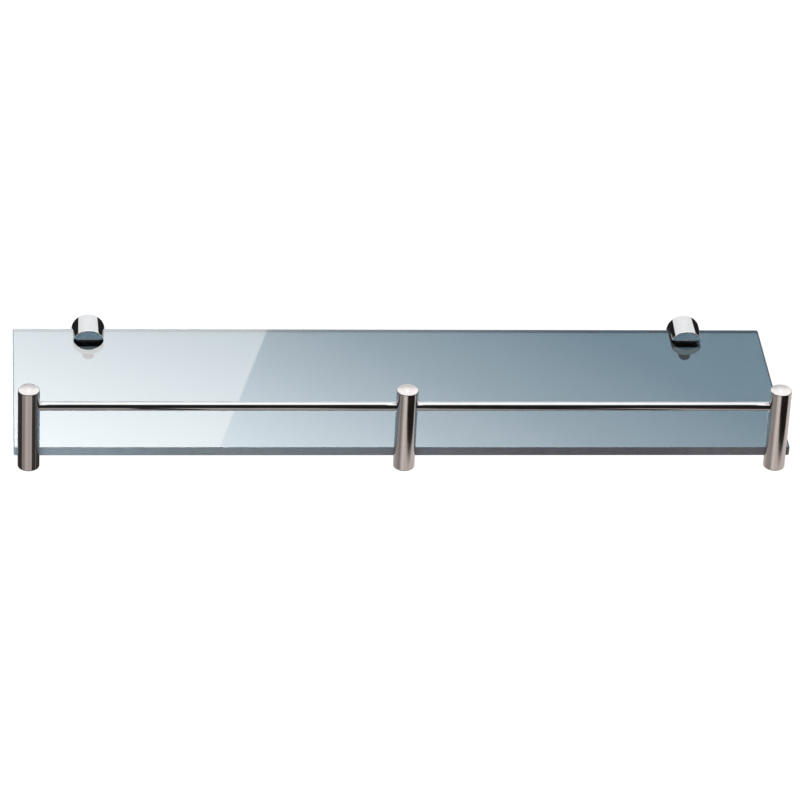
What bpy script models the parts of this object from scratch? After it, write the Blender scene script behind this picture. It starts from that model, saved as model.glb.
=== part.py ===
"""Glass wall shelf with a gallery rail, held by two slotted cylindrical wall brackets.

Metres, +Z up. The wall is the plane y = 0 and the shelf stands out from it along -Y.
The origin lies on the wall, midway between the two brackets, at the height of their axes.
"""

import math

import bmesh
import bpy
from mathutils import Vector

# Clearances
SEAT_GAP = 0.0001
HOLE_CLEARANCE = 0.0001

# Glass panel
GLASS_LENGTH = 0.500
GLASS_DEPTH = 0.150
GLASS_THICKNESS = 0.006
GLASS_CORNER_RADIUS = 0.0015
GLASS_ARRIS = 0.0005

# Wall brackets, whose axes run along Y at z = 0
BRACKET_SPACING = 0.400
BRACKET_RADIUS = 0.011
BRACKET_LENGTH = 0.022
BRACKET_BACK_WALL = 0.0053
BRACKET_SLOT_HEIGHT = 0.0092
BRACKET_FRONT_ROUND = 0.0007
BRACKET_BACK_CHAMFER = 0.0003
WALL_HOLE_RADIUS = 0.00225
COUNTERSINK_RADIUS = 0.0040

# Pads that touch the glass inside a bracket
TOP_PAD_SIZE = (0.016, 0.014, 0.0008)
TOP_PAD_INSET = 0.0008
CLAMP_PAD_RADIUS = 0.0038
CLAMP_PAD_THICKNESS = 0.0012
CLAMP_STUD_RADIUS = 0.0015
CLAMP_STUD_LENGTH = 0.0016

# Clamp screw, M8 x 12 with a hex socket in its lower end
CLAMP_SCREW_RADIUS = 0.0039
CLAMP_SCREW_LENGTH = 0.012
CLAMP_SCREW_INSET = 0.0057
CLAMP_BORE_RADIUS = 0.0040
CLAMP_HEX_ACROSS_FLATS = 0.004
CLAMP_HEX_DEPTH = 0.0038

# Distance from the glass's rear edge to the slot's back wall
REAR_CLEARANCE = 0.0012

# Gallery posts
POST_RADIUS = 0.007
POST_SPREAD = 0.481
POST_BELOW_GLASS = 0.008
POST_CROWN_RADIUS = 0.0105
POST_SHOULDER_RADIUS = 0.0012
POST_FOOT_ROUND = 0.0012
RAIL_ABOVE_GLASS = 0.031
TOP_ABOVE_RAIL = 0.0148

# Soft liner between each post and the glass
LINER_THICKNESS = 0.0006
LINER_RADIUS = 0.0067

# Grub screw in each post's foot, M4 x 6
GRUB_RADIUS = 0.0019
GRUB_LENGTH = 0.006
GRUB_OFFSET = 0.0036
GRUB_HEX_ACROSS_FLATS = 0.002
GRUB_HEX_DEPTH = 0.0025

# Gallery rails
RAIL_RADIUS = 0.003
RAIL_END_CHAMFER = 0.0003
SOCKET_DEPTH = 0.0045

# Heights and depths that follow from the sizes above
SLOT_TOP = BRACKET_SLOT_HEIGHT / 2
SLOT_FLOOR = -BRACKET_SLOT_HEIGHT / 2
GLASS_TOP = SLOT_TOP - TOP_PAD_SIZE[2] - 2 * SEAT_GAP
GLASS_BOTTOM = GLASS_TOP - GLASS_THICKNESS
GLASS_REAR = -BRACKET_BACK_WALL - REAR_CLEARANCE
GLASS_FRONT = GLASS_REAR - GLASS_DEPTH
POST_BOTTOM = GLASS_BOTTOM - POST_BELOW_GLASS
RAIL_HEIGHT = GLASS_TOP + RAIL_ABOVE_GLASS
POST_TOP = RAIL_HEIGHT + TOP_ABOVE_RAIL

ROUND_STEPS = 40
SIDES = {"left": -1, "right": 1}
POSTS = {"left": -POST_SPREAD / 2, "centre": 0.0, "right": POST_SPREAD / 2}


def clear_scene():
    for item in list(bpy.data.objects):
        bpy.data.objects.remove(item, do_unlink=True)


def make_material(name, colour, roughness, metallic, transmission=0.0):
    material = bpy.data.materials.new(name)
    material.use_nodes = True
    shader = material.node_tree.nodes["Principled BSDF"]
    shader.inputs["Base Color"].default_value = (*colour, 1.0)
    shader.inputs["Roughness"].default_value = roughness
    shader.inputs["Metallic"].default_value = metallic
    shader.inputs["Transmission Weight"].default_value = transmission
    return material


def add_object(name, bm, material=None, smooth=True):
    """Put a bmesh in the scene as one named object."""
    bmesh.ops.recalc_face_normals(bm, faces=bm.faces)
    mesh = bpy.data.meshes.new(name)
    bm.to_mesh(mesh)
    bm.free()
    if smooth:
        mesh.shade_smooth()
        mesh.set_sharp_from_angle(angle=math.radians(35))
    item = bpy.data.objects.new(name, mesh)
    bpy.context.scene.collection.objects.link(item)
    if material:
        mesh.materials.append(material)
    return item


def make_cutter(item):
    item.hide_render = True
    item.display_type = "WIRE"
    return item


def cut(item, cutter):
    modifier = item.modifiers.new(cutter.name, "BOOLEAN")
    modifier.operation = "DIFFERENCE"
    modifier.solver = "EXACT"
    modifier.object = cutter


def box(name, low, high, material=None):
    """A box between two corners, with its origin at its centre."""
    low = Vector(low)
    high = Vector(high)
    bm = bmesh.new()
    bmesh.ops.create_cube(bm, size=1.0)
    bmesh.ops.scale(bm, vec=high - low, verts=bm.verts)
    item = add_object(name, bm, material, smooth=False)
    item.location = (low + high) / 2
    return item


def turned(name, profile, material=None, steps=ROUND_STEPS):
    """Turn a profile of (radius, height) points, both ends of it on the axis, about local Z."""
    bm = bmesh.new()
    points = [bm.verts.new((radius, 0.0, height)) for radius, height in profile]
    edges = [bm.edges.new(pair) for pair in zip(points, points[1:])]
    bmesh.ops.spin(
        bm,
        geom=points + edges,
        cent=(0.0, 0.0, 0.0),
        axis=(0.0, 0.0, 1.0),
        angle=math.tau,
        steps=steps,
    )
    bmesh.ops.remove_doubles(bm, verts=bm.verts, dist=0.000001)
    return add_object(name, bm, material)


def arc(centre_radius, centre_height, radius, start, end, steps):
    """Profile points along an arc, with angles in degrees from the outward direction."""
    points = []
    for step in range(steps + 1):
        angle = math.radians(start + (end - start) * step / steps)
        points.append(
            (centre_radius + radius * math.cos(angle), centre_height + radius * math.sin(angle))
        )
    return points


def crown(radius, sphere, shoulder, top, steps):
    """Profile points of a spherical crown that runs smoothly into a rounded shoulder."""
    shoulder_at = radius - shoulder
    meeting = math.acos(shoulder_at / (sphere - shoulder))
    shoulder_height = top - sphere + (sphere - shoulder) * math.sin(meeting)
    points = arc(0.0, top - sphere, sphere, 90.0, math.degrees(meeting), steps)
    points[0] = (0.0, top)
    points += arc(shoulder_at, shoulder_height, shoulder, math.degrees(meeting), 0.0, steps)[1:]
    return points


def hex_prism(name, across_flats, low, high):
    bm = bmesh.new()
    radius = across_flats / math.sqrt(3.0)
    bmesh.ops.create_cone(
        bm, cap_ends=True, segments=6, radius1=radius, radius2=radius, depth=high - low
    )
    bmesh.ops.translate(bm, vec=(0.0, 0.0, (low + high) / 2), verts=bm.verts)
    return make_cutter(add_object(name, bm, smooth=False))


def drill(name, radius, low, high, steps=ROUND_STEPS):
    """A round cutter along local Z."""
    return make_cutter(turned(name, [(0.0, high), (radius, high), (radius, low), (0.0, low)], steps=steps))


def build_glass(material):
    """Sheet glass with its upright corners rounded and all its edges ground to a small arris."""
    bm = bmesh.new()
    bmesh.ops.create_cube(bm, size=1.0)
    bmesh.ops.scale(bm, vec=(GLASS_LENGTH, GLASS_DEPTH, GLASS_THICKNESS), verts=bm.verts)
    upright = [e for e in bm.edges if abs(e.verts[0].co.z - e.verts[1].co.z) > GLASS_THICKNESS / 2]
    bmesh.ops.bevel(
        bm,
        geom=upright,
        offset=GLASS_CORNER_RADIUS,
        offset_type="OFFSET",
        segments=4,
        profile=0.5,
        affect="EDGES",
    )
    rim = [
        e
        for e in bm.edges
        if abs(e.verts[0].co.z - e.verts[1].co.z) < GLASS_THICKNESS / 10
        and any(abs(f.normal.z) > 0.9 for f in e.link_faces)
        and any(abs(f.normal.z) < 0.1 for f in e.link_faces)
    ]
    bmesh.ops.bevel(
        bm, geom=rim, offset=GLASS_ARRIS, offset_type="OFFSET", segments=1, profile=0.5, affect="EDGES"
    )
    glass = add_object("glass_panel", bm, material, smooth=False)
    glass.location = (0.0, (GLASS_FRONT + GLASS_REAR) / 2, (GLASS_TOP + GLASS_BOTTOM) / 2)
    return glass


def build_bracket(side, sign, chrome, pad_plastic, foot_rubber, screw_steel):
    """One wall bracket: a slotted cylinder with its clamp screw and the two pads that grip the glass."""
    x = sign * BRACKET_SPACING / 2
    front = -BRACKET_LENGTH
    profile = [(0.0, BRACKET_LENGTH)]
    profile += arc(
        BRACKET_RADIUS - BRACKET_FRONT_ROUND,
        BRACKET_LENGTH - BRACKET_FRONT_ROUND,
        BRACKET_FRONT_ROUND,
        90.0,
        0.0,
        3,
    )
    profile += [
        (BRACKET_RADIUS, BRACKET_BACK_CHAMFER),
        (BRACKET_RADIUS - BRACKET_BACK_CHAMFER, 0.0),
        (0.0, 0.0),
    ]
    body = turned("bracket_body_" + side, profile, chrome)
    body.location = (x, 0.0, 0.0)
    body.rotation_euler = (math.pi / 2, 0.0, 0.0)

    slot = make_cutter(
        box(
            "slot_cutter_" + side,
            (x - 1.2 * BRACKET_RADIUS, front - 0.001, SLOT_FLOOR),
            (x + 1.2 * BRACKET_RADIUS, -BRACKET_BACK_WALL, SLOT_TOP),
        )
    )
    cut(body, slot)

    countersink_depth = COUNTERSINK_RADIUS - WALL_HOLE_RADIUS
    run_out = 0.0005
    wall_hole = make_cutter(
        turned(
            "wall_hole_cutter_" + side,
            [
                (0.0, BRACKET_BACK_WALL + run_out),
                (COUNTERSINK_RADIUS + run_out, BRACKET_BACK_WALL + run_out),
                (WALL_HOLE_RADIUS, BRACKET_BACK_WALL - countersink_depth),
                (WALL_HOLE_RADIUS, -0.001),
                (0.0, -0.001),
            ],
            steps=32,
        )
    )
    wall_hole.location = body.location
    wall_hole.rotation_euler = body.rotation_euler
    cut(body, wall_hole)

    screw_y = front + CLAMP_SCREW_INSET
    bore = drill("clamp_bore_cutter_" + side, CLAMP_BORE_RADIUS, -1.2 * BRACKET_RADIUS, 0.0, 32)
    bore.location = (x, screw_y, 0.0)
    cut(body, bore)

    pad_top = GLASS_BOTTOM - SEAT_GAP
    pad_bottom = pad_top - CLAMP_PAD_THICKNESS
    pad_edge = 0.0002
    clamp_pad = turned(
        "clamp_pad_" + side,
        [
            (0.0, 0.0),
            (CLAMP_PAD_RADIUS - pad_edge, 0.0),
            (CLAMP_PAD_RADIUS, -pad_edge),
            (CLAMP_PAD_RADIUS, pad_edge - CLAMP_PAD_THICKNESS),
            (CLAMP_PAD_RADIUS - pad_edge, -CLAMP_PAD_THICKNESS),
            (CLAMP_STUD_RADIUS, -CLAMP_PAD_THICKNESS),
            (CLAMP_STUD_RADIUS, -CLAMP_PAD_THICKNESS - CLAMP_STUD_LENGTH),
            (0.0, -CLAMP_PAD_THICKNESS - CLAMP_STUD_LENGTH),
        ],
        foot_rubber,
        steps=32,
    )
    clamp_pad.location = (x, screw_y, pad_top)

    screw_top = pad_bottom - SEAT_GAP
    point = 0.0007
    screw = turned(
        "clamp_screw_" + side,
        [
            (0.0, 0.0),
            (CLAMP_SCREW_RADIUS - point / 2, 0.0),
            (CLAMP_SCREW_RADIUS, -point / 2),
            (CLAMP_SCREW_RADIUS, point - CLAMP_SCREW_LENGTH),
            (CLAMP_SCREW_RADIUS - point, -CLAMP_SCREW_LENGTH),
            (0.0, -CLAMP_SCREW_LENGTH),
        ],
        screw_steel,
        steps=32,
    )
    screw.location = (x, screw_y, screw_top)
    stud_hole = drill(
        "stud_hole_cutter_" + side,
        CLAMP_STUD_RADIUS + HOLE_CLEARANCE,
        -CLAMP_STUD_LENGTH - 0.0004,
        0.001,
        24,
    )
    stud_hole.location = screw.location
    cut(screw, stud_hole)
    hex_socket = hex_prism(
        "clamp_hex_cutter_" + side,
        CLAMP_HEX_ACROSS_FLATS,
        -CLAMP_SCREW_LENGTH - 0.001,
        CLAMP_HEX_DEPTH - CLAMP_SCREW_LENGTH,
    )
    hex_socket.location = screw.location
    cut(screw, hex_socket)

    bm = bmesh.new()
    bmesh.ops.create_cube(bm, size=1.0)
    bmesh.ops.scale(bm, vec=TOP_PAD_SIZE, verts=bm.verts)
    upright = [e for e in bm.edges if abs(e.verts[0].co.z - e.verts[1].co.z) > TOP_PAD_SIZE[2] / 2]
    bmesh.ops.bevel(
        bm, geom=upright, offset=0.002, offset_type="OFFSET", segments=4, profile=0.5, affect="EDGES"
    )
    top_pad = add_object("bracket_top_pad_" + side, bm, pad_plastic, smooth=False)
    top_pad.location = (
        x,
        front + TOP_PAD_INSET + TOP_PAD_SIZE[1] / 2,
        SLOT_TOP - SEAT_GAP - TOP_PAD_SIZE[2] / 2,
    )


def build_post(where, x, steel, liner_plastic, screw_steel):
    """One gallery post, slotted from behind to take the glass, with its liner and grub screw."""
    profile = crown(POST_RADIUS, POST_CROWN_RADIUS, POST_SHOULDER_RADIUS, POST_TOP, 5)
    profile += arc(
        POST_RADIUS - POST_FOOT_ROUND, POST_BOTTOM + POST_FOOT_ROUND, POST_FOOT_ROUND, 0.0, -90.0, 4
    )
    profile.append((0.0, POST_BOTTOM))
    post = turned("gallery_post_" + where, profile, steel)
    post.location = (x, GLASS_FRONT, 0.0)

    liner_low = GLASS_BOTTOM - SEAT_GAP - LINER_THICKNESS
    liner_high = GLASS_TOP + SEAT_GAP + LINER_THICKNESS
    liner_front = GLASS_FRONT - SEAT_GAP - LINER_THICKNESS
    slot = make_cutter(
        box(
            "post_slot_cutter_" + where,
            (x - 1.5 * POST_RADIUS, liner_front - SEAT_GAP, liner_low - SEAT_GAP),
            (x + 1.5 * POST_RADIUS, GLASS_FRONT + 1.5 * POST_RADIUS, liner_high + SEAT_GAP),
        )
    )
    cut(post, slot)

    for end, sign in SIDES.items():
        if (where, end) in (("left", "left"), ("right", "right")):
            continue
        socket = drill(
            "socket_cutter_" + where + "_" + end,
            RAIL_RADIUS + HOLE_CLEARANCE,
            POST_RADIUS - SOCKET_DEPTH,
            1.5 * POST_RADIUS,
            32,
        )
        socket.location = (x, GLASS_FRONT, RAIL_HEIGHT)
        socket.rotation_euler = (0.0, sign * math.pi / 2, 0.0)
        cut(post, socket)

    grub_hole = drill(
        "grub_hole_cutter_" + where, GRUB_RADIUS + HOLE_CLEARANCE, POST_BOTTOM - 0.001, GLASS_BOTTOM, 24
    )
    grub_hole.location = (x, GLASS_FRONT + GRUB_OFFSET, 0.0)
    cut(post, grub_hole)

    half_disc = [
        (0.0, liner_high),
        (LINER_RADIUS, liner_high),
        (LINER_RADIUS, liner_low),
        (0.0, liner_low),
    ]
    liner = turned("post_liner_" + where, half_disc, liner_plastic)
    liner.location = (x, GLASS_FRONT, 0.0)
    trim = make_cutter(
        box(
            "liner_front_cutter_" + where,
            (x - 2 * POST_RADIUS, GLASS_FRONT - 2 * POST_RADIUS, liner_low - 0.001),
            (x + 2 * POST_RADIUS, liner_front, liner_high + 0.001),
        )
    )
    cut(liner, trim)
    channel = make_cutter(
        box(
            "liner_channel_cutter_" + where,
            (x - 2 * POST_RADIUS, GLASS_FRONT - SEAT_GAP, GLASS_BOTTOM - SEAT_GAP),
            (x + 2 * POST_RADIUS, GLASS_FRONT + 2 * POST_RADIUS, GLASS_TOP + SEAT_GAP),
        )
    )
    cut(liner, channel)

    edge = 0.0004
    grub = turned(
        "post_grub_screw_" + where,
        [
            (0.0, 0.0),
            (GRUB_RADIUS - edge, 0.0),
            (GRUB_RADIUS, -edge),
            (GRUB_RADIUS, edge - GRUB_LENGTH),
            (GRUB_RADIUS - edge, -GRUB_LENGTH),
            (0.0, -GRUB_LENGTH),
        ],
        screw_steel,
        steps=24,
    )
    grub.location = (x, GLASS_FRONT + GRUB_OFFSET, liner_low - SEAT_GAP)
    hex_socket = hex_prism(
        "grub_hex_cutter_" + where, GRUB_HEX_ACROSS_FLATS, -GRUB_LENGTH - 0.001, GRUB_HEX_DEPTH - GRUB_LENGTH
    )
    hex_socket.location = grub.location
    cut(grub, hex_socket)


def build_rail(side, sign, steel):
    """One round rod between the centre post and an outer post, its ends in their sockets."""
    buried = SOCKET_DEPTH - HOLE_CLEARANCE
    length = POST_SPREAD / 2 - 2 * (POST_RADIUS - buried)
    half = length / 2
    rail = turned(
        "gallery_rail_" + side,
        [
            (0.0, half),
            (RAIL_RADIUS - RAIL_END_CHAMFER, half),
            (RAIL_RADIUS, half - RAIL_END_CHAMFER),
            (RAIL_RADIUS, RAIL_END_CHAMFER - half),
            (RAIL_RADIUS - RAIL_END_CHAMFER, -half),
            (0.0, -half),
        ],
        steel,
        steps=32,
    )
    rail.location = (sign * POST_SPREAD / 4, GLASS_FRONT, RAIL_HEIGHT)
    rail.rotation_euler = (0.0, math.pi / 2, 0.0)


def main():
    clear_scene()
    glass = make_material("tinted_glass", (0.62, 0.72, 0.76), 0.02, 0.0, transmission=0.9)
    steel = make_material("polished_stainless", (0.62, 0.58, 0.56), 0.12, 1.0)
    chrome = make_material("bright_chrome", (0.80, 0.79, 0.78), 0.05, 1.0)
    screw_steel = make_material("dark_screw_steel", (0.12, 0.11, 0.11), 0.35, 1.0)
    pad_plastic = make_material("translucent_pad", (0.80, 0.76, 0.70), 0.45, 0.0)
    foot_rubber = make_material("black_foot", (0.03, 0.03, 0.03), 0.6, 0.0)
    liner_plastic = make_material("clear_liner", (0.86, 0.88, 0.88), 0.25, 0.0, transmission=0.7)

    build_glass(glass)
    for side, sign in SIDES.items():
        build_bracket(side, sign, chrome, pad_plastic, foot_rubber, screw_steel)
        build_rail(side, sign, steel)
    for where, x in POSTS.items():
        build_post(where, x, steel, liner_plastic, screw_steel)


main()
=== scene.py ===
"""Looks of a glass wall shelf with a gallery rail: fine meshes, materials, studio and camera
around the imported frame. Metres, +Z up, the wall is the plane y = 0 and the shelf reaches along -Y."""

import math

import bmesh
import bpy
from mathutils import Matrix, Vector


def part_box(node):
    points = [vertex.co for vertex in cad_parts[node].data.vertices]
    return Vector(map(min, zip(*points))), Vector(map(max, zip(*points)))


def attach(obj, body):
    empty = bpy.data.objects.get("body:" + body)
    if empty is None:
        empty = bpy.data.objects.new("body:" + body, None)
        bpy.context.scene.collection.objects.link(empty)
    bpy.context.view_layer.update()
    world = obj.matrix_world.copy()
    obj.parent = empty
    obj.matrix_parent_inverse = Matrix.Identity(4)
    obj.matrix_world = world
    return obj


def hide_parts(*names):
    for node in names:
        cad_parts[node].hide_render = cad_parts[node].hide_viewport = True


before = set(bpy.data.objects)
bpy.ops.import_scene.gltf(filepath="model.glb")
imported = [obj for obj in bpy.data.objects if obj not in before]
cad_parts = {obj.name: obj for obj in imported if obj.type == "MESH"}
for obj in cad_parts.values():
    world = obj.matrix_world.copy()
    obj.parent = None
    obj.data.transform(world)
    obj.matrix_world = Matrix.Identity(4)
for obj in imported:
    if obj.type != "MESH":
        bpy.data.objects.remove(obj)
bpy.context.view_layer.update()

SIDES = ("left", "right")
POSTS = ("left", "centre", "right")
WALL_BODY = "wall_brackets"
SHELF_BODY = "shelf"


# ---------------------------------------------------------------- sizes read from the frame


def centre_of(node):
    low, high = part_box(node)
    return (low + high) / 2


def size_of(node):
    low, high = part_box(node)
    return high - low


glass_low, glass_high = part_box("glass_panel")
POST_RADIUS = size_of("gallery_post_centre").x / 2
POST_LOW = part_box("gallery_post_centre")[0].z
POST_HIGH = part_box("gallery_post_centre")[1].z
RAIL_RADIUS = size_of("gallery_rail_left").z / 2
RAIL_HEIGHT = centre_of("gallery_rail_left").z
BRACKET_RADIUS = size_of("bracket_body_left").x / 2
BRACKET_LENGTH = size_of("bracket_body_left").y

# Details of the real pieces that the frame's boxes don't give, in metres
CLEARANCE = 0.0001
CROWN_RADIUS = 0.0105
SHOULDER_RADIUS = 0.0012
FOOT_ROUND = 0.0012
SOCKET_DEPTH = 0.0045
SOCKET_MOUTH = 0.0004
GRUB_MOUTH = 0.0003
RAIL_END_ROUND = 0.0004
POST_SLOT_EDGE = 0.00012
LINER_EDGE = 0.00006
GLASS_CORNER = 0.0015
GLASS_ARRIS = 0.0005
BACK_WALL = 0.0053
BRACKET_FRONT_ROUND = 0.0007
BRACKET_BACK_ROUND = 0.0003
BRACKET_SLOT_EDGE = 0.00015
SLOT_HALF_HEIGHT = 0.0046
WALL_HOLE_RADIUS = 0.00225
COUNTERSINK_RADIUS = 0.0040
FOOT_DISC = 0.0012
FOOT_DISC_ROUND = 0.00035
STUD_RADIUS = 0.0015
STUD_HOLE_DEPTH = 0.002
PAD_CORNER = 0.002
PAD_EDGE = 0.0002
M8_PITCH = 0.00125
M8_CHAMFER = 0.0007
M8_HEX, M8_HEX_DEPTH = 0.004, 0.0038
M4_PITCH = 0.0007
M4_CHAMFER = 0.0004
M4_HEX, M4_HEX_DEPTH = 0.002, 0.0025

# A thread's depth, its flat root and its two flanks, as shares of its pitch
THREAD_DEPTH = 0.54
THREAD_ROOT = 0.12
THREAD_FLANKS = 0.72

# How far cutters reach past a face, and the steps of the roundest turned pieces
THROUGH = 0.001
FINE_STEPS = 128


# ---------------------------------------------------------------- mesh tools


def add_item(name, bm):
    """Add a mesh to the scene just as it is."""
    mesh = bpy.data.meshes.new(name)
    bm.to_mesh(mesh)
    bm.free()
    item = bpy.data.objects.new(name, mesh)
    bpy.context.scene.collection.objects.link(item)
    return item


def add_mesh(name, bm, smooth_angle=32):
    """Add a mesh with its faces outward, smooth but where its edges turn by more than an angle."""
    bmesh.ops.recalc_face_normals(bm, faces=bm.faces)
    item = add_item(name, bm)
    item.data.shade_smooth()
    item.data.set_sharp_from_angle(angle=math.radians(smooth_angle))
    return item


def turned(name, profile, steps=FINE_STEPS):
    """Turn (radius, height) points, both ends on the axis, about local Z."""
    bm = bmesh.new()
    points = [bm.verts.new((radius, 0.0, height)) for radius, height in profile]
    edges = [bm.edges.new(pair) for pair in zip(points, points[1:])]
    bmesh.ops.spin(
        bm,
        geom=points + edges,
        cent=(0.0, 0.0, 0.0),
        axis=(0.0, 0.0, 1.0),
        angle=math.tau,
        steps=steps,
    )
    bmesh.ops.remove_doubles(bm, verts=bm.verts, dist=1e-7)
    return add_mesh(name, bm)


def block(name, low, high):
    """A box between two corners of the row frame."""
    bm = bmesh.new()
    bmesh.ops.create_cube(bm, size=1.0)
    low = Vector(low)
    high = Vector(high)
    bmesh.ops.scale(bm, vec=high - low, verts=bm.verts)
    bmesh.ops.translate(bm, vec=(low + high) / 2, verts=bm.verts)
    return add_mesh(name, bm)


def rounded_box(name, size, corner, rim, rim_profile, smooth_angle):
    """A box round its own middle, its upright corners round and the rims of its two faces softened."""
    bm = bmesh.new()
    bmesh.ops.create_cube(bm, size=1.0)
    bmesh.ops.scale(bm, vec=size, verts=bm.verts)
    for upright, offset, segments, profile in ((True, corner, 10, 0.5), (False, rim, 3, rim_profile)):
        edges = [e for e in bm.edges if (abs(e.verts[0].co.z - e.verts[1].co.z) > size.z / 2) == upright]
        bmesh.ops.bevel(
            bm,
            geom=edges,
            offset=offset,
            offset_type="OFFSET",
            segments=segments,
            profile=profile,
            affect="EDGES",
        )
    return add_mesh(name, bm, smooth_angle)


def hex_prism(name, across_flats, low, high):
    """An upright six-sided prism between two heights."""
    bm = bmesh.new()
    radius = across_flats / math.sqrt(3.0)
    bmesh.ops.create_cone(
        bm, cap_ends=True, segments=6, radius1=radius, radius2=radius, depth=high - low
    )
    bmesh.ops.translate(bm, vec=(0.0, 0.0, (low + high) / 2), verts=bm.verts)
    return add_mesh(name, bm)


def arc(centre_radius, centre_height, radius, start, end, steps):
    """Profile points along an arc, its angles in degrees from the outward direction."""
    points = []
    for step in range(steps + 1):
        angle = math.radians(start + (end - start) * step / steps)
        points.append(
            (centre_radius + radius * math.cos(angle), centre_height + radius * math.sin(angle))
        )
    return points


def crown(radius, sphere, shoulder, top, steps):
    """Profile points of a spherical crown that runs smoothly into a rounded shoulder."""
    shoulder_at = radius - shoulder
    meeting = math.acos(shoulder_at / (sphere - shoulder))
    shoulder_height = top - sphere + (sphere - shoulder) * math.sin(meeting)
    points = arc(0.0, top - sphere, sphere, 90.0, math.degrees(meeting), steps)
    points[0] = (0.0, top)
    points += arc(shoulder_at, shoulder_height, shoulder, math.degrees(meeting), 0.0, steps)[1:]
    return points


def bake_modifiers(item):
    """Replace the item's mesh by its evaluated one and drop the modifiers."""
    bpy.context.view_layer.update()
    graph = bpy.context.evaluated_depsgraph_get()
    mesh = bpy.data.meshes.new_from_object(item.evaluated_get(graph))
    item.modifiers.clear()
    item.data = mesh
    mesh.name = item.name


def even_normals(item, weight=80):
    """Let the large faces set the shading normals, so that only the narrow bevels look round."""
    weighted = item.modifiers.new("normals", "WEIGHTED_NORMAL")
    weighted.keep_sharp = False
    weighted.weight = weight


def carve(item, cutters, bevel=0.0):
    """Cut each cutter out of the item, soften the new edges, and delete the cutters."""
    for cutter in cutters:
        modifier = item.modifiers.new(cutter.name, "BOOLEAN")
        modifier.operation = "DIFFERENCE"
        modifier.solver = "EXACT"
        modifier.object = cutter
    if bevel:
        modifier = item.modifiers.new("edge", "BEVEL")
        modifier.width = bevel
        modifier.segments = 2
        modifier.limit_method = "ANGLE"
        modifier.angle_limit = math.radians(40)
        even_normals(item)
    bake_modifiers(item)
    for cutter in cutters:
        bpy.data.objects.remove(cutter, do_unlink=True)


def place(item, location, rotation=(0.0, 0.0, 0.0)):
    """Put the item's local frame at a place in the row frame."""
    item.matrix_world = Matrix.Translation(Vector(location)) @ (
        Matrix.Rotation(rotation[2], 4, "Z")
        @ Matrix.Rotation(rotation[1], 4, "Y")
        @ Matrix.Rotation(rotation[0], 4, "X")
    )
    return item


def finish_piece(item, material, body, slot, *nodes):
    """Give the item its material and its body, and hide the CAD nodes that it replaces. slot is not used.
    """
    item.data.materials.clear()
    item.data.materials.append(material)
    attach(item, body)
    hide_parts(*nodes)


def threaded_rod(name, radius, length, pitch, chamfer, around, per_turn):
    """A screw shank hanging from local z = 0 down to -length, with a real helical thread."""
    depth = THREAD_DEPTH * pitch
    rows = math.ceil(length / pitch * per_turn)
    bm = bmesh.new()
    rings = []
    for row in range(rows + 1):
        height = -length * row / rows
        ring = []
        for step in range(around):
            angle = math.tau * step / around
            # 0 in the middle of the thread's root and 1 in the middle of its crest
            crest = abs(2.0 * ((height / pitch + step / around) % 1.0) - 1.0)
            rise = min(max((crest - THREAD_ROOT) / THREAD_FLANKS, 0.0), 1.0)
            nearer_end = min(-height, length + height)
            reach = min(radius - depth * (1.0 - rise), radius - chamfer + nearer_end)
            ring.append(bm.verts.new((reach * math.cos(angle), reach * math.sin(angle), height)))
        rings.append(ring)
    for upper, lower in zip(rings, rings[1:]):
        for step in range(around):
            after = (step + 1) % around
            bm.faces.new((upper[step], lower[step], lower[after], upper[after]))
    bm.faces.new(rings[0])
    bm.faces.new(list(reversed(rings[-1])))
    return add_mesh(name, bm, smooth_angle=50)


# ---------------------------------------------------------------- material tools


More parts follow.
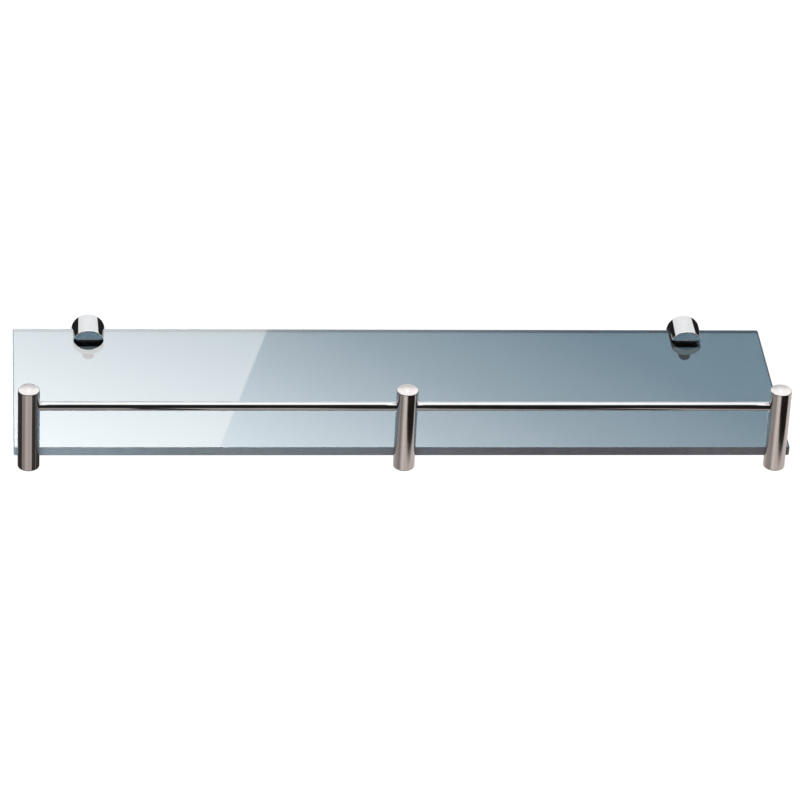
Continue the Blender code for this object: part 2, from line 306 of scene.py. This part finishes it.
class Nodes:
    """Adds nodes to a tree. Most calls give the output that the next one takes."""

    def __init__(self, tree):
        self.tree = tree

    def node(self, kind, **settings):
        made = self.tree.nodes.new("ShaderNode" + kind)
        for key, value in settings.items():
            setattr(made, key, value)
        return made

    def feed(self, socket, value):
        """Link an output to the socket, or set the number, vector or colour that the socket holds."""
        if isinstance(value, bpy.types.NodeSocket):
            self.tree.links.new(value, socket)
        elif socket.type == "RGBA":
            socket.default_value = (*value, 1.0)
        else:
            socket.default_value = value

    def coords(self, scale=(1.0, 1.0, 1.0), kind="Object"):
        """Coordinates in the item's own frame, scaled by axis for a grain that runs one way."""
        mapping = self.node("Mapping")
        self.feed(mapping.inputs["Scale"], scale)
        self.feed(mapping.inputs["Vector"], self.node("TexCoord").outputs[kind])
        return mapping.outputs["Vector"]

    def split(self, vector):
        made = self.node("SeparateXYZ")
        self.feed(made.inputs["Vector"], vector)
        return made.outputs

    def noise(self, vector, scale, detail=4.0, roughness=0.55):
        made = self.node("TexNoise")
        self.feed(made.inputs["Scale"], scale)
        self.feed(made.inputs["Detail"], detail)
        self.feed(made.inputs["Roughness"], roughness)
        self.feed(made.inputs["Vector"], vector)
        return made.outputs["Fac"]

    def ranged(self, value, low, high, from_low=0.3, from_high=0.7, interpolation="LINEAR"):
        """Map a value to low..high and hold it there. Unless told, it takes what noise mostly gives."""
        made = self.node("MapRange", interpolation_type=interpolation)
        self.feed(made.inputs["Value"], value)
        self.feed(made.inputs["From Min"], from_low)
        self.feed(made.inputs["From Max"], from_high)
        self.feed(made.inputs["To Min"], low)
        self.feed(made.inputs["To Max"], high)
        return made.outputs["Result"]

    def fade(self, value, start, end):
        """0 at start and 1 at end, with soft shoulders."""
        return self.ranged(value, 0.0, 1.0, start, end, "SMOOTHSTEP")

    def ramp(self, value, stops):
        """Colours, or greys given as one number, at places from 0 to 1."""
        made = self.node("ValToRGB")
        elements = made.color_ramp.elements
        while len(elements) < len(stops):
            elements.new(0.5)
        for element, (position, colour) in zip(elements, stops):
            element.position = position
            element.color = (*colour, 1.0) if isinstance(colour, tuple) else (colour, colour, colour, 1.0)
        self.feed(made.inputs["Fac"], value)
        return made.outputs["Color"]

    def maths(self, operation, *values):
        made = self.node("Math", operation=operation)
        for socket, value in zip(made.inputs, values):
            self.feed(socket, value)
        return made.outputs["Value"]

    def inverse(self, value):
        return self.maths("SUBTRACT", 1.0, value)

    def times(self, first, second):
        """One colour times another."""
        made = self.node("VectorMath", operation="MULTIPLY")
        self.feed(made.inputs[0], first)
        self.feed(made.inputs[1], second)
        return made.outputs["Vector"]

    def scaled(self, colour, factor):
        made = self.node("VectorMath", operation="SCALE")
        self.feed(made.inputs[0], colour)
        self.feed(made.inputs["Scale"], factor)
        return made.outputs["Vector"]

    def mix(self, share, first, second):
        """A colour between two others."""
        made = self.node("Mix", data_type="RGBA")
        self.feed(made.inputs[0], share)
        self.feed(made.inputs[6], first)
        self.feed(made.inputs[7], second)
        return made.outputs[2]

    def either(self, share, first, second):
        """A shader between two others."""
        made = self.node("MixShader")
        self.feed(made.inputs[0], share)
        self.feed(made.inputs[1], first)
        self.feed(made.inputs[2], second)
        return made.outputs["Shader"]

    def clear(self):
        return self.node("BsdfTransparent").outputs["BSDF"]

    def background(self, colour):
        made = self.node("Background")
        self.feed(made.inputs["Color"], colour)
        return made.outputs["Background"]

    def glow(self, colour, strength=1.0):
        made = self.node("Emission")
        self.feed(made.inputs["Color"], colour)
        self.feed(made.inputs["Strength"], strength)
        return made.outputs["Emission"]

    def ray(self, kind):
        return self.node("LightPath").outputs["Is " + kind + " Ray"]

    def backfacing(self):
        return self.node("NewGeometry").outputs["Backfacing"]


def bare_nodes(owner, output):
    """Empty the node tree of a new material or world. Gives its tools and its output's socket."""
    owner.use_nodes = True
    owner.node_tree.nodes.clear()
    n = Nodes(owner.node_tree)
    return n, n.node(output).inputs["Surface"]


class Surface(Nodes):
    """A material made from one Principled shader, whose inputs are set or linked by name."""

    def __init__(self, name):
        self.material = bpy.data.materials.new(name)
        self.material.use_nodes = True
        super().__init__(self.material.node_tree)
        self.shader = self.tree.nodes["Principled BSDF"]
        self.output = self.tree.nodes["Material Output"].inputs["Surface"]

    def set(self, **values):
        for key, value in values.items():
            self.feed(self.shader.inputs[key.replace("_", " ")], value)

    def bump(self, height, strength, distance):
        made = self.node("Bump")
        self.feed(made.inputs["Strength"], strength)
        self.feed(made.inputs["Distance"], distance)
        self.feed(made.inputs["Height"], height)
        self.set(Normal=made.outputs["Normal"])


# ---------------------------------------------------------------- materials

GLASS_IOR = 1.52
# The polished glass is never duller than this: the studio's window shows only in mirror-sharp rays
DULLEST_GLASS = 0.003


def polished_metal(name, dark, light, gloss, grain, marks=0.00001):
    """Polished metal: fine polishing lines, soft smears in its gloss, a little tone.

    dark and light are the ends of its tone, gloss holds the ends of its roughness, grain stretches
    the polishing lines one way, and marks is their depth."""
    n = Surface(name)
    lines = n.noise(n.coords(grain), 900.0, detail=3.0)
    smears = n.noise(n.coords((1.0, 1.0, 0.6)), 130.0, detail=5.0, roughness=0.6)
    n.set(
        Metallic=1.0,
        Base_Color=n.ramp(smears, [(0.30, dark), (0.70, light)]),
        Roughness=n.maths("ADD", n.ranged(smears, *gloss), n.ranged(lines, -0.015, 0.02)),
    )
    n.bump(lines, 0.25, marks)
    return n.material


def dark_steel(name):
    """Blackened screw steel, with bare metal showing in worn flecks."""
    n = Surface(name)
    flecks = n.noise(n.coords(), 1800.0, detail=6.0, roughness=0.65)
    n.set(
        Metallic=1.0,
        Base_Color=n.ramp(flecks, [(0.45, (0.035, 0.033, 0.033)), (0.68, (0.20, 0.19, 0.185))]),
        Roughness=n.ranged(flecks, 0.42, 0.26),
    )
    n.bump(flecks, 0.35, 0.00002)
    return n.material


def hard_rubber(name):
    """Hard black rubber, with a matt, finely pored skin."""
    n = Surface(name)
    pores = n.noise(n.coords(), 2600.0, detail=6.0, roughness=0.7)
    n.set(
        Base_Color=n.ramp(pores, [(0.35, (0.012, 0.012, 0.012)), (0.7, (0.045, 0.044, 0.042))]),
        Roughness=n.ranged(pores, 0.5, 0.75),
    )
    n.bump(pores, 0.5, 0.00004)
    return n.material


def soft_clear_plastic(name, dark, light, transmission):
    """Soft clear plastic with a cloudy body and a faintly pebbled skin."""
    n = Surface(name)
    cloud = n.noise(n.coords(), 420.0, detail=5.0)
    n.set(
        IOR=1.47,
        Transmission_Weight=transmission,
        Base_Color=n.ramp(cloud, [(0.3, dark), (0.7, light)]),
        Roughness=n.ranged(cloud, 0.22, 0.38),
    )
    n.bump(n.noise(n.coords(), 2400.0), 0.3, 0.00003)
    return n.material


def tinted_glass(name):
    """The sheet's two polished faces: grey-blue float glass with the faintest haze of handling."""
    n = Surface(name)
    haze = n.noise(n.coords(), 34.0, detail=6.0, roughness=0.6)
    n.set(
        IOR=GLASS_IOR,
        Transmission_Weight=1.0,
        Base_Color=n.ramp(haze, [(0.25, (0.133, 0.213, 0.268)), (0.75, (0.140, 0.220, 0.276))]),
        Roughness=n.ranged(haze, 0.0, DULLEST_GLASS, 0.35, 0.75),
    )
    return n.material


def ground_edge(name):
    """The sheet's ground edges: fine grinding lines, with painted light in their colour: paler towards
    the sheet's left end, where more light falls, and bluer at the back, where the light comes through the
    depth of the sheet."""
    n = Surface(name)
    half = size_of("glass_panel") / 2
    x, y, _ = n.split(n.coords())
    # Painted light: the edges' colour runs from pale at the sheet's left end to dark at its right end, as
    # the light falls on them
    edge_tone_painted_light = n.ramp(
        n.ranged(x, 0.0, 1.0, -half.x, half.x),
        [
            (0.04, (0.240, 0.305, 0.355)),
            (0.14, (0.203, 0.258, 0.293)),
            (0.24, (0.176, 0.211, 0.231)),
            (0.37, (0.140, 0.169, 0.197)),
            (0.63, (0.105, 0.107, 0.122)),
            (0.90, (0.096, 0.097, 0.111)),
        ],
    )
    # Painted light: the back edge is bluer, for the light that comes through the depth of the sheet
    rear_painted_light = n.ranged(y, 0.0, 1.0, half.y - 0.002, half.y - 0.001)
    edge_tone_painted_light = n.times(edge_tone_painted_light, n.ramp(rear_painted_light, [(0.0, (0.50, 0.50, 0.50)), (1.0, (0.42, 0.55, 0.70))]))
    lines = n.noise(n.coords((3.0, 3.0, 400.0)), 22.0, detail=5.0, roughness=0.6)
    n.set(
        IOR=GLASS_IOR,
        Transmission_Weight=0.35,
        Base_Color=n.scaled(edge_tone_painted_light, n.ranged(lines, 1.76, 2.24)),
        Roughness=n.ranged(lines, 0.16, 0.34),
    )
    n.bump(lines, 0.25, 0.00002)
    return n.material


STEEL = polished_metal(
    "polished_stainless", (0.60, 0.555, 0.535), (0.68, 0.64, 0.62), (0.09, 0.16), (0.12, 0.12, 3.0)
)
ROD_STEEL = polished_metal(
    "polished_rod", (0.61, 0.590, 0.580), (0.685, 0.670, 0.665), (0.07, 0.12), (2.0, 2.0, 0.05)
)
CHROME = polished_metal(
    "bright_chrome", (0.80, 0.785, 0.775), (0.86, 0.85, 0.845), (0.035, 0.075), (0.3, 0.3, 1.0), 0.000004
)
TURNED = polished_metal(
    "turned_back_face", (0.50, 0.49, 0.48), (0.60, 0.59, 0.58), (0.32, 0.42), (1.0, 1.0, 1.0), 0.00002
)
SCREW = dark_steel("blackened_screw")
RUBBER = hard_rubber("black_foot_rubber")
PAD = soft_clear_plastic("clear_pad_plastic", (0.62, 0.60, 0.56), (0.78, 0.76, 0.72), 0.35)
LINER = soft_clear_plastic("clear_liner_plastic", (0.72, 0.75, 0.76), (0.86, 0.88, 0.89), 0.75)
GLASS = tinted_glass("tinted_glass")
GLASS_EDGE = ground_edge("ground_glass_edge")


# ---------------------------------------------------------------- the shelf


def build_glass():
    """Sheet glass: rounded upright corners, a ground arris round both faces, its own edge material, which
    has painted light in its colour.
    """
    size = glass_high - glass_low
    sheet = rounded_box("shelf_glass", size, GLASS_CORNER, GLASS_ARRIS, rim_profile=0.6, smooth_angle=60)
    even_normals(sheet, weight=100)
    bake_modifiers(sheet)
    place(sheet, (glass_low + glass_high) / 2)
    finish_piece(sheet, GLASS, SHELF_BODY, "glass", "glass_panel")
    sheet.data.materials.append(GLASS_EDGE)
    for face in sheet.data.polygons:
        face.material_index = 0 if abs(face.normal.z) > 0.99 else 1


def post_slot(where, axis):
    """Cutter for the slot that takes the glass and its liner, open to the back of the post."""
    low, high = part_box("post_liner_" + where)
    reach = 2 * POST_RADIUS
    return block(
        "slot",
        (axis.x - reach, low.y - CLEARANCE, low.z - CLEARANCE),
        (axis.x + reach, axis.y + reach, high.z + CLEARANCE),
    )


def rail_socket(side, axis):
    """Cutter for the blind, countersunk hole that takes a rail's end."""
    bore = RAIL_RADIUS + CLEARANCE
    outside = 2 * POST_RADIUS
    floor = POST_RADIUS - SOCKET_DEPTH
    profile = [
        (0.0, outside),
        (bore + SOCKET_MOUTH + POST_RADIUS, outside),
        (bore, POST_RADIUS - 2 * SOCKET_MOUTH),
        (bore, floor),
        (0.0, floor),
    ]
    socket = turned("socket_" + side, profile, steps=64)
    outward = -math.pi / 2 if side == "left" else math.pi / 2
    return place(socket, (axis.x, axis.y, RAIL_HEIGHT), (0.0, outward, 0.0))


def grub_hole(where):
    """Cutter for the grub screw's hole, from the post's foot up into the slot."""
    node = "post_grub_screw_" + where
    grub = centre_of(node)
    bore = size_of(node).x / 2 + CLEARANCE
    mouth = bore + GRUB_MOUTH
    inside = grub.z + 0.01
    below = POST_LOW - THROUGH
    profile = [
        (0.0, inside),
        (bore, inside),
        (bore, POST_LOW + GRUB_MOUTH),
        (mouth, POST_LOW),
        (mouth, below),
        (0.0, below),
    ]
    return place(turned("grub_hole", profile, steps=48), (grub.x, grub.y, 0.0))


def build_post(where):
    """A turned post with a domed top, slotted for the glass, with countersunk rail sockets."""
    node = "gallery_post_" + where
    axis = centre_of(node)
    profile = crown(POST_RADIUS, CROWN_RADIUS, SHOULDER_RADIUS, POST_HIGH, 14)
    profile += arc(POST_RADIUS - FOOT_ROUND, POST_LOW + FOOT_ROUND, FOOT_ROUND, 0.0, -90.0, 8)
    profile.append((0.0, POST_LOW))
    post = turned("post_" + where, profile)
    place(post, (axis.x, axis.y, 0.0))
    # The outer side of an end post has no rail
    sockets = [rail_socket(side, axis) for side in SIDES if side != where]
    carve(post, [post_slot(where, axis), *sockets, grub_hole(where)], bevel=POST_SLOT_EDGE)
    finish_piece(post, STEEL, SHELF_BODY, "polished_stainless", node)


def build_rail(side):
    """A polished rod whose rounded ends sit in the posts' sockets."""
    node = "gallery_rail_" + side
    half = size_of(node).x / 2
    flat = RAIL_RADIUS - RAIL_END_ROUND
    profile = [(0.0, half)]
    profile += arc(flat, half - RAIL_END_ROUND, RAIL_END_ROUND, 90.0, 0.0, 4)
    profile += arc(flat, RAIL_END_ROUND - half, RAIL_END_ROUND, 0.0, -90.0, 4)
    profile.append((0.0, -half))
    rail = turned("rail_" + side, profile, steps=64)
    place(rail, centre_of(node), (0.0, math.pi / 2, 0.0))
    finish_piece(rail, ROD_STEEL, SHELF_BODY, "polished_stainless", node)


def build_grub(where):
    """The M4 grub screw in the post's foot, with its hex socket facing down."""
    node = "post_grub_screw_" + where
    middle = centre_of(node)
    size = size_of(node)
    grub = threaded_rod(
        "grub_screw_" + where, size.x / 2, size.z, M4_PITCH, M4_CHAMFER, around=32, per_turn=10
    )
    carve(grub, [hex_prism("hex", M4_HEX, -size.z - THROUGH, M4_HEX_DEPTH - size.z)])
    place(grub, (middle.x, middle.y, middle.z + size.z / 2))
    finish_piece(grub, SCREW, SHELF_BODY, "screw_steel", node)


def build_liner(where):
    """The clear plastic channel between the glass and the post, trimmed to the post's round."""
    node = "post_liner_" + where
    low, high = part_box(node)
    axis_y = centre_of("gallery_post_" + where).y
    radius = (high.x - low.x) / 2
    middle_x = (low.x + high.x) / 2
    profile = [(0.0, high.z), (radius, high.z), (radius, low.z), (0.0, low.z)]
    liner = turned("liner_" + where, profile, steps=96)
    place(liner, (middle_x, axis_y, 0.0))
    reach = 3 * radius
    front = block(
        "front",
        (middle_x - reach, axis_y - reach, low.z - THROUGH),
        (middle_x + reach, low.y, high.z + THROUGH),
    )
    channel = block(
        "channel",
        (middle_x - reach, glass_low.y - CLEARANCE, glass_low.z - CLEARANCE),
        (middle_x + reach, axis_y + reach, glass_high.z + CLEARANCE),
    )
    carve(liner, [front, channel], bevel=LINER_EDGE)
    finish_piece(liner, LINER, SHELF_BODY, "clear_liner", node)


# ---------------------------------------------------------------- the wall brackets


def bracket_slot(middle_x):
    """Cutter for the slot that takes the glass, open to the front of the bracket."""
    reach = 2 * BRACKET_RADIUS
    return block(
        "slot",
        (middle_x - reach, -BRACKET_LENGTH - 2 * THROUGH, -SLOT_HALF_HEIGHT),
        (middle_x + reach, -BACK_WALL, SLOT_HALF_HEIGHT),
    )


def wall_hole(middle_x):
    """Cutter for the countersunk hole on the bracket's axis, from the slot to the wall."""
    past = 0.0005
    sink = COUNTERSINK_RADIUS - WALL_HOLE_RADIUS
    profile = [
        (0.0, BACK_WALL + past),
        (COUNTERSINK_RADIUS + past, BACK_WALL + past),
        (WALL_HOLE_RADIUS, BACK_WALL - sink),
        (WALL_HOLE_RADIUS, -THROUGH),
        (0.0, -THROUGH),
    ]
    hole = turned("wall_hole", profile, steps=64)
    return place(hole, (middle_x, 0.0, 0.0), (math.pi / 2, 0.0, 0.0))


def clamp_bore(side):
    """Cutter for the clamp screw's bore, from the slot out through the bracket's underside."""
    screw = centre_of("clamp_screw_" + side)
    bore = size_of("clamp_screw_" + side).x / 2 + CLEARANCE
    below = -BRACKET_RADIUS - 2 * THROUGH
    profile = [(0.0, 0.0), (bore, 0.0), (bore, below), (0.0, below)]
    return place(turned("bore", profile, steps=64), (screw.x, screw.y, 0.0))


def build_bracket(side):
    """A chromed cylinder slotted for the glass, with its countersunk wall hole and clamp bore."""
    node = "bracket_body_" + side
    middle_x = centre_of(node).x
    front, back = BRACKET_FRONT_ROUND, BRACKET_BACK_ROUND
    profile = [(0.0, BRACKET_LENGTH)]
    profile += arc(BRACKET_RADIUS - front, BRACKET_LENGTH - front, front, 90.0, 0.0, 6)
    profile += arc(BRACKET_RADIUS - back, back, back, 0.0, -90.0, 3)
    profile.append((0.0, 0.0))
    body = turned("bracket_" + side, profile)
    place(body, (middle_x, 0.0, 0.0), (math.pi / 2, 0.0, 0.0))
    cutters = [bracket_slot(middle_x), wall_hole(middle_x), clamp_bore(side)]
    carve(body, cutters, bevel=BRACKET_SLOT_EDGE)
    finish_piece(body, CHROME, WALL_BODY, "bright_chrome", node)
    # The flat back, at z = 0 in the item's own frame, is turned and not polished
    body.data.materials.append(TURNED)
    for face in body.data.polygons:
        if face.normal.z < -0.99 and face.center.z < CLEARANCE:
            face.material_index = 1


def build_clamp_screw(side):
    """The M8 clamp screw, its thread real, with a hex socket below and a hole for its foot above."""
    node = "clamp_screw_" + side
    middle = centre_of(node)
    size = size_of(node)
    screw = threaded_rod(
        "clamp_bolt_" + side, size.x / 2, size.z, M8_PITCH, M8_CHAMFER, around=64, per_turn=12
    )
    hex_socket = hex_prism("hex", M8_HEX, -size.z - THROUGH, M8_HEX_DEPTH - size.z)
    bore = STUD_RADIUS + CLEARANCE
    profile = [(0.0, THROUGH), (bore, THROUGH), (bore, -STUD_HOLE_DEPTH), (0.0, -STUD_HOLE_DEPTH)]
    carve(screw, [hex_socket, turned("stud_hole", profile, steps=32)])
    place(screw, (middle.x, middle.y, middle.z + size.z / 2))
    finish_piece(screw, SCREW, "clamp_turner_" + side, "screw_steel", node)


def build_clamp_foot(side):
    """The rubber foot: a disc under the glass, with a stud that snaps into the clamp screw's top."""
    node = "clamp_pad_" + side
    middle = centre_of(node)
    size = size_of(node)
    radius, height = size.x / 2, size.z
    edge, chamfer = FOOT_DISC_ROUND, 0.0003
    profile = [(0.0, 0.0), (radius * 0.55, 0.0)]
    profile += arc(radius - edge, -edge, edge, 90.0, 0.0, 5)
    profile += arc(radius - edge, edge - FOOT_DISC, edge, 0.0, -90.0, 5)
    profile += [(STUD_RADIUS, -FOOT_DISC), (STUD_RADIUS, chamfer - height)]
    profile += [(STUD_RADIUS - chamfer, -height), (0.0, -height)]
    foot = turned("clamp_foot_disc_" + side, profile, steps=96)
    place(foot, (middle.x, middle.y, middle.z + height / 2))
    finish_piece(foot, RUBBER, "clamp_foot_" + side, "black_foot", node)


def build_top_pad(side):
    """The thin soft pad stuck under the bracket's upper jaw."""
    node = "bracket_top_pad_" + side
    pad = rounded_box(
        "jaw_pad_" + side, size_of(node), PAD_CORNER, PAD_EDGE, rim_profile=0.5, smooth_angle=32
    )
    place(pad, centre_of(node))
    finish_piece(pad, PAD, WALL_BODY, "clear_pad", node)


build_glass()
for where in POSTS:
    build_post(where)
    build_liner(where)
    build_grub(where)
for side in SIDES:
    build_rail(side)
    build_bracket(side)
    build_clamp_screw(side)
    build_clamp_foot(side)
    build_top_pad(side)


# ---------------------------------------------------------------- studio

FLOOR_RADIUS = 30.0
FLOOR_HEIGHT = -1.25
DARK_CLOTH = (0.016, 0.014, 0.013)
WHITE_CARD = (1.42, 1.46, 1.49)

# The card of the window and the wall beside it: its distance behind the wall plane, its left end,
# right end, foot and head, its strength and the window's colour
WINDOW_BEHIND = 2.0
WINDOW_CARD = (-0.30, 0.74, 1.160, 1.352)
WINDOW_STRENGTH = 8.25
DAYLIGHT = (1.0, 0.975, 0.940)

# Angles are in degrees, the lens and the sensor in millimetres
CAMERA_PLACE = (-0.2645, -2.6876, 1.5723)
CAMERA_YAW = -5.862
CAMERA_PITCH = 31.07
CAMERA_ROLL = 3.069
CAMERA_SENSOR = 36.0
CAMERA_LENS = 209.7


def plain_floor():
    """A plain pale floor. It is clear from below, so that the shelf's underside can be seen."""
    bm = bmesh.new()
    bmesh.ops.create_circle(bm, cap_ends=True, segments=96, radius=FLOOR_RADIUS)
    floor = add_mesh("studio_floor", bm)
    floor.location = (0.0, 0.0, FLOOR_HEIGHT)
    n = Surface("studio_floor")
    n.set(Base_Color=(0.93, 0.93, 0.93), Roughness=0.9, Specular_IOR_Level=0.0)
    n.feed(n.output, n.either(n.backfacing(), n.shader.outputs["BSDF"], n.clear()))
    floor.data.materials.append(n.material)
    floor.visible_glossy = False


def upright_card(name, left, right, foot, head):
    """A card in the plane y = 0 of its own frame, whose front looks along +Y."""
    bm = bmesh.new()
    corners = [(left, head), (right, head), (right, foot), (left, foot)]
    bm.faces.new([bm.verts.new((x, 0.0, z)) for x, z in corners])
    return add_item(name, bm)


def reflections_only(card, material):
    """Stage a card that nothing but polished surfaces sees."""
    material.cycles.emission_sampling = "NONE"
    card.data.materials.append(material)
    card.visible_camera = False
    card.visible_diffuse = False
    card.visible_transmission = False
    card.visible_shadow = False


def panel(name, node, facing, distance, left, right, low, high, soft, opacity=1.0, tone=DARK_CLOTH):
    """A panel with soft sides and foot, which one node's polish mirrors.

    It stands upright at a distance from the node's middle, in the direction facing, in degrees
    from the front towards +X. left and right are its ends either side of that line, low and high
    its foot and head, and soft the widths of its left, right and lower edges. It is clear from
    behind, so that other pieces don't mirror it."""
    angle = math.radians(facing)
    middle = centre_of(node)
    x = middle.x + distance * math.sin(angle)
    y = middle.y - distance * math.cos(angle)
    card = place(upright_card(name, left, right, low, high), (x, y, 0.0), (0.0, 0.0, angle))

    material = bpy.data.materials.new(name)
    n, surface = bare_nodes(material, "OutputMaterial")
    across, _, up = n.split(n.coords())
    cover = opacity
    for mask in (
        n.fade(across, left, left + soft[0]),
        n.fade(across, right, right - soft[1]),
        n.fade(up, low, low + soft[2]),
        n.inverse(n.ray("Transmission")),
        n.inverse(n.ray("Singular")),
        n.inverse(n.backfacing()),
    ):
        cover = n.maths("MULTIPLY", cover, mask)
    n.feed(surface, n.either(cover, n.clear(), n.glow(tone)))
    reflections_only(card, material)


def studio_flags():
    """Dark panels round the posts and behind the brackets, as their polish shows them. The numbers
    are panel's facing, distance, left, right, low, high, soft edges and opacity, in that order."""
    for where in ("centre", "right"):
        node = "gallery_post_" + where
        panel("flag_front_" + where, node, 44.0, 0.15, -0.20, 0.13, -0.097, 0.0, (0.08, 0.03, 0.016))
    node = "gallery_post_left"
    panel("flag_front_left", node, 56.0, 0.107, -0.066, 0.062, -0.140, 0.005, (0.03, 0.03, 0.01), 0.95)
    panel("flag_foot_left", node, 128.0, 0.107, -0.12, 0.12, -0.180, -0.030, (0.02, 0.03, 0.01), 0.95)
    panel("flag_side_left", node, -112.0, 0.107, -0.14, 0.115, -0.180, 0.02, (0.05, 0.05, 0.01), 0.93)
    panel("flag_dim_left", node, -10.0, 0.12, -0.12, 0.10, -0.180, 0.005, (0.04, 0.05, 0.01), 0.24)
    for side in SIDES:
        node = "bracket_body_" + side
        for end, (left, right) in enumerate(((-0.065, -0.013), (0.013, 0.065))):
            name = "flag_behind_" + side + "_" + str(end)
            panel(name, node, 180.0, 0.07, left, right, -0.070, 0.021, (0.004, 0.004, 0.01))


def cap_tents():
    """Small white tents round the tops of the posts, open to the ceiling, that whiten their caps."""
    half = POST_RADIUS + 0.002
    front, back, edge = POST_RADIUS + 0.0025, 0.016, 0.0005
    low, high = POST_HIGH - 0.002, POST_HIGH + 0.040
    for where in POSTS:
        node = "gallery_post_" + where
        for name, facing, distance, left, right, soft in (
            ("tent_front_", 0.0, front, -half, half, (edge, edge, edge)),
            ("tent_right_", 90.0, half, -front, back, (edge, back, edge)),
            ("tent_left_", -90.0, half, -back, front, (back, edge, edge)),
        ):
            panel(name + where, node, facing, distance, left, right, low, high, soft, 1.0, WHITE_CARD)


def window_glow():
    """A bright window and the softer wall beside it, seen only in reflections: it stands behind the
    shelf where the sheet mirrors it, brightest at the left, with the window frame's edge across it."""
    card = upright_card("window_glow", *WINDOW_CARD)
    card.location = (0.0, WINDOW_BEHIND, 0.0)
    material = bpy.data.materials.new("window_glow")
    n, surface = bare_nodes(material, "OutputMaterial")
    x, _, z = n.split(n.coords())

    def slanted(slope, height):
        """How far a point is to the right of a slanting line that crosses x = 0 at a height."""
        return n.maths("ADD", x, n.maths("MULTIPLY_ADD", z, slope, -slope * height))

    window = n.scaled(DAYLIGHT, n.ranged(slanted(-3.4, 1.192), 1.290, 0.432, -1.00, 0.30))
    wall = n.ramp(
        n.ranged(slanted(-2.1, 1.192), 0.0, 1.0, -0.30, 0.60),
        [(0.0, 0.78), (0.33, 0.40), (0.52, 0.232), (0.66, 0.155), (0.83, 0.068), (1.0, 0.045)],
    )
    beside = n.fade(slanted(0.32, 1.180), 0.0550, 0.0582)
    glow = n.glow(n.mix(beside, window, wall), WINDOW_STRENGTH)
    n.feed(surface, n.either(n.ray("Singular"), n.clear(), glow))
    reflections_only(card, material)


def studio_world():
    """White to the eye and to matt surfaces; a darker room with a bright ceiling in polished metal."""
    world = bpy.data.worlds.new("studio")
    bpy.context.scene.world = world
    n, surface = bare_nodes(world, "OutputWorld")
    x, y, z = n.split(n.coords(kind="Generated"))
    height = n.ranged(z, 0.0, 1.0, -1.0, 1.0)
    azimuth = n.maths("ARCTAN2", x, n.maths("MULTIPLY", y, -1.0))
    around = n.ranged(azimuth, 0.0, 1.0, -math.pi, math.pi)

    # Round the room below the horizon, from behind-left by the front to behind-right
    low_band = n.ramp(
        around,
        [
            (0.00, (0.63, 0.60, 0.58)),
            (0.14, (0.58, 0.55, 0.53)),
            (0.23, (0.38, 0.36, 0.35)),
            (0.36, (0.33, 0.31, 0.30)),
            (0.395, (0.66, 0.61, 0.59)),
            (0.43, (0.90, 0.83, 0.80)),
            (0.46, (0.88, 0.81, 0.78)),
            (0.50, (0.72, 0.67, 0.64)),
            (0.86, (0.72, 0.67, 0.65)),
            (0.94, (0.88, 0.84, 0.82)),
            (1.00, (0.63, 0.60, 0.58)),
        ],
    )
    # Round the room above the horizon: bright behind, grey to the sides and dark in front
    high_band = n.ramp(
        around,
        [
            (0.14, 1.00),
            (0.20, 0.30),
            (0.30, 0.30),
            (0.36, 0.015),
            (0.64, 0.015),
            (0.70, 0.30),
            (0.80, 0.30),
            (0.86, 1.00),
        ],
    )
    # The places in these four are heights: 0 is straight down, 0.5 the horizon and 1 straight up
    low_share = n.ramp(height, [(0.0, 1.0), (0.26, 1.0), (0.36, 0.0)])
    rise = n.ramp(height, [(0.50, 0.52), (0.76, 0.60), (0.93, 0.85)])
    zenith = n.ramp(height, [(0.930, 0.0), (0.975, 1.0)])
    nadir = n.ramp(height, [(0.17, 1.0), (0.235, 0.0)])

    upper = n.mix(zenith, n.times(high_band, rise), (1.0, 1.0, 1.0))
    upper = n.times(upper, (1.56, 1.61, 1.64))
    lower = n.mix(nadir, low_band, (0.36, 0.34, 0.33))
    room = n.mix(low_share, upper, lower)
    polished = n.maths("MULTIPLY", n.ray("Glossy"), n.inverse(n.ray("Transmission")))
    n.feed(surface, n.either(polished, n.background((1.0, 1.0, 1.0)), n.background(room)))


def softbox(name, location, aim, size, watts):
    """A square light that polished surfaces don't mirror."""
    data = bpy.data.lights.new(name, "AREA")
    data.shape = "SQUARE"
    data.size = size
    data.energy = watts
    light = bpy.data.objects.new(name, data)
    bpy.context.scene.collection.objects.link(light)
    direction = Vector(location) - Vector(aim)
    turn = direction.to_track_quat("Z", "Y").to_matrix().to_4x4()
    light.matrix_world = Matrix.Translation(Vector(location)) @ turn
    light.visible_glossy = False


def build_camera():
    """The camera that took the photo, as fitted to the posts and the glass."""
    data = bpy.data.cameras.new("photo_camera")
    data.sensor_width = CAMERA_SENSOR
    data.lens = CAMERA_LENS
    data.clip_end = 100.0
    camera = bpy.data.objects.new("photo_camera", data)
    bpy.context.scene.collection.objects.link(camera)
    camera.matrix_world = Matrix.Translation(Vector(CAMERA_PLACE)) @ (
        Matrix.Rotation(math.radians(CAMERA_YAW), 4, "Z")
        @ Matrix.Rotation(math.pi / 2 - math.radians(CAMERA_PITCH), 4, "X")
        @ Matrix.Rotation(math.radians(CAMERA_ROLL), 4, "Z")
    )
    bpy.context.scene.camera = camera


studio_world()
plain_floor()
window_glow()
studio_flags()
cap_tents()
softbox("key", location=(-1.2, -1.6, 2.6), aim=(0.0, 0.0, 0.0), size=2.0, watts=70.0)
softbox("edge_fill", location=(-0.80, -0.70, 0.10), aim=(-0.25, -0.16, 0.0), size=0.3, watts=1.5)
build_camera()
bpy.context.scene.view_settings.view_transform = "Standard"
